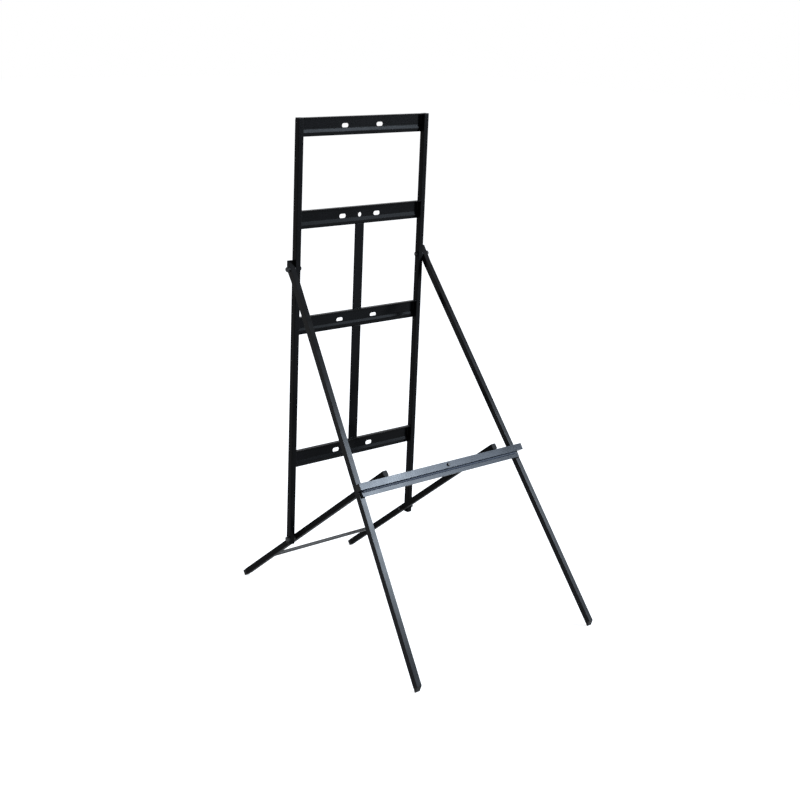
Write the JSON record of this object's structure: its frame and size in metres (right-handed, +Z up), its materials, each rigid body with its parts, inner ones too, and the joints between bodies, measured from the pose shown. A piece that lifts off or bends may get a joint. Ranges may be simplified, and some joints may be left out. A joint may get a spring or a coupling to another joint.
{
  "type": "folding roadworks sign frame",
  "caption": "Folding roadworks sign frame: upright tube frame with slotted rails for a sign, splayed rear struts with a crossbar, and pivoting foot bars that rest on the crossbar.",
  "frame": {"origin": "on the ground under the middle of the stand's bounding box", "axes": "+Z up, +Y to the rear where the struts stand, +X to the left as seen from behind; the sign side faces -Y"},
  "size_m": [1.033, 1.3649, 2.0776],
  "materials": {
    "black_steel": "gloss",
    "dark_fastener": "satin",
    "black_plastic": "matte"
  },
  "bodies": {
    "frame": {"left_post": "black_steel", "right_post": "black_steel", "top_rail": "black_steel", "second_rail": "black_steel", "third_rail": "black_steel", "bottom_rail": "black_steel", "upper_centre_bar": "black_steel", "lower_centre_bar": "black_steel", "post_top_caps": "black_plastic", "post_bottom_caps": "black_plastic", "strut_pivot_bolts": "dark_fastener", "strut_pivot_spacers": "dark_fastener", "strut_pivot_washers": "dark_fastener", "strut_pivot_nuts": "dark_fastener", "foot_pivot_bolts": "dark_fastener", "foot_pivot_bushes": "dark_fastener", "foot_pivot_washers": "dark_fastener", "foot_pivot_nuts": "dark_fastener"},
    "strut_frame": {"left_strut": "black_steel", "right_strut": "black_steel", "strut_top_caps": "black_plastic", "left_strut_foot": "black_plastic", "right_strut_foot": "black_plastic", "crossbar_tube": "black_steel", "crossbar_strip": "black_steel", "crossbar_end_caps": "black_plastic", "crossbar_bolt": "dark_fastener", "crossbar_nut": "dark_fastener"},
    "foot_frame": {"left_foot_bar": "black_steel", "right_foot_bar": "black_steel", "foot_tie_rod": "black_steel", "left_bar_foot": "black_plastic", "right_bar_foot": "black_plastic", "bar_rear_caps": "black_plastic"}
  },
  "joints": [
    {"name": "strut_fold", "type": "hinge", "parent": "frame", "child": "strut_frame", "pos_m": [0, -0.32046, 1.46755], "axis": [-1, 0, 0], "range_deg": [0, 33.2]},
    {"name": "foot_fold", "type": "hinge", "parent": "frame", "child": "foot_frame", "pos_m": [0, -0.32046, 0.29056], "axis": [1, 0, 0], "range_deg": [0, 48.2]}
  ],
  "couplings": [
    {"joint": "foot_fold", "follows": "strut_fold", "ratio": 1.45}
  ]
}
